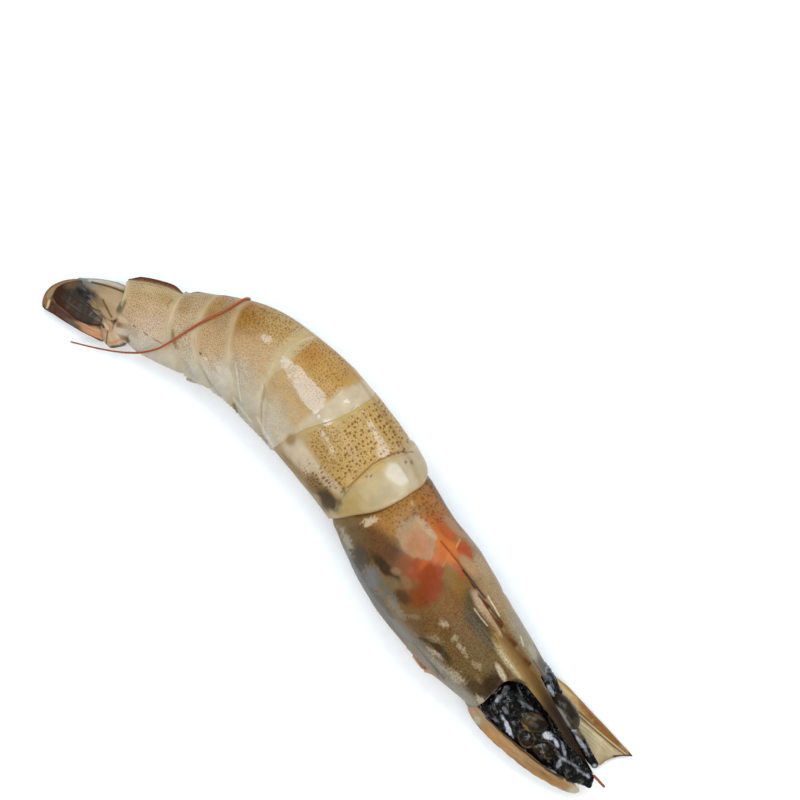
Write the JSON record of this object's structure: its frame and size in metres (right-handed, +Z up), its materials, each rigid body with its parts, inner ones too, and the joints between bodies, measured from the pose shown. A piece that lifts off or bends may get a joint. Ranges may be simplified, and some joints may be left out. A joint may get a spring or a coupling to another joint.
{
  "type": "raw whiteleg prawn",
  "caption": "Whole uncooked whiteleg prawn lying on its side: head shield with toothed beak, curved jointed abdomen, folded tail fan, feelers and limbs folded beneath.",
  "frame": {"origin": "centre of the footprint, on the surface that the prawn lies on", "axes": "+X from the tail to the head, +Z up, -Y the belly side"},
  "size_m": [0.1572, 0.0401, 0.0257],
  "materials": {
    "carapace_shell": "wet translucent shell over dark and orange organs, gloss",
    "abdomen_shell": "wet translucent shell speckled with brown dots, gloss",
    "tail_fan": "dark brown fan with red-brown rims, wet gloss",
    "head_tissue": "black wet soft tissue, high gloss",
    "eye": "amber-brown cornea, high gloss",
    "antennal_scale": "thin cream and golden blade, wet gloss",
    "antenna": "orange-red feeler, semi-gloss",
    "leg": "grey and tan translucent limb, wet gloss",
    "swimmeret": "pale paddle with reddish stripes, wet gloss"
  },
  "bodies": {
    "root": {"carapace": "carapace_shell", "abdomen_segment_1": "abdomen_shell", "abdomen_segment_2": "abdomen_shell", "abdomen_segment_3": "abdomen_shell", "abdomen_segment_4": "abdomen_shell", "abdomen_segment_5": "abdomen_shell", "abdomen_segment_6": "abdomen_shell", "telson": "tail_fan", "uropod_protopod_right": "tail_fan", "uropod_protopod_left": "tail_fan", "uropod_exopod_right": "tail_fan", "uropod_exopod_left": "tail_fan", "uropod_endopod_right": "tail_fan", "uropod_endopod_left": "tail_fan", "head_core": "head_tissue", "eye_right": "eye", "eye_left": "eye", "antennule_right": "head_tissue", "antennule_left": "head_tissue", "antenna_base_right": "head_tissue", "antenna_base_left": "head_tissue", "antennal_scale_right": "antennal_scale", "antennal_scale_left": "antennal_scale", "antenna_long": "antenna", "antenna_stub": "antenna", "maxilliped_right": "leg", "maxilliped_left": "leg", "leg_right_1": "leg", "leg_right_2": "leg", "leg_right_3": "leg", "leg_right_4": "leg", "leg_right_5": "leg", "leg_left_1": "leg", "leg_left_2": "leg", "leg_left_3": "leg", "leg_left_4": "leg", "leg_left_5": "leg", "swimmeret_right_1": "swimmeret", "swimmeret_right_2": "swimmeret", "swimmeret_right_3": "swimmeret", "swimmeret_right_4": "swimmeret", "swimmeret_right_5": "swimmeret", "swimmeret_left_1": "swimmeret", "swimmeret_left_2": "swimmeret", "swimmeret_left_3": "swimmeret", "swimmeret_left_4": "swimmeret", "swimmeret_left_5": "swimmeret"}
  },
  "joints": []
}
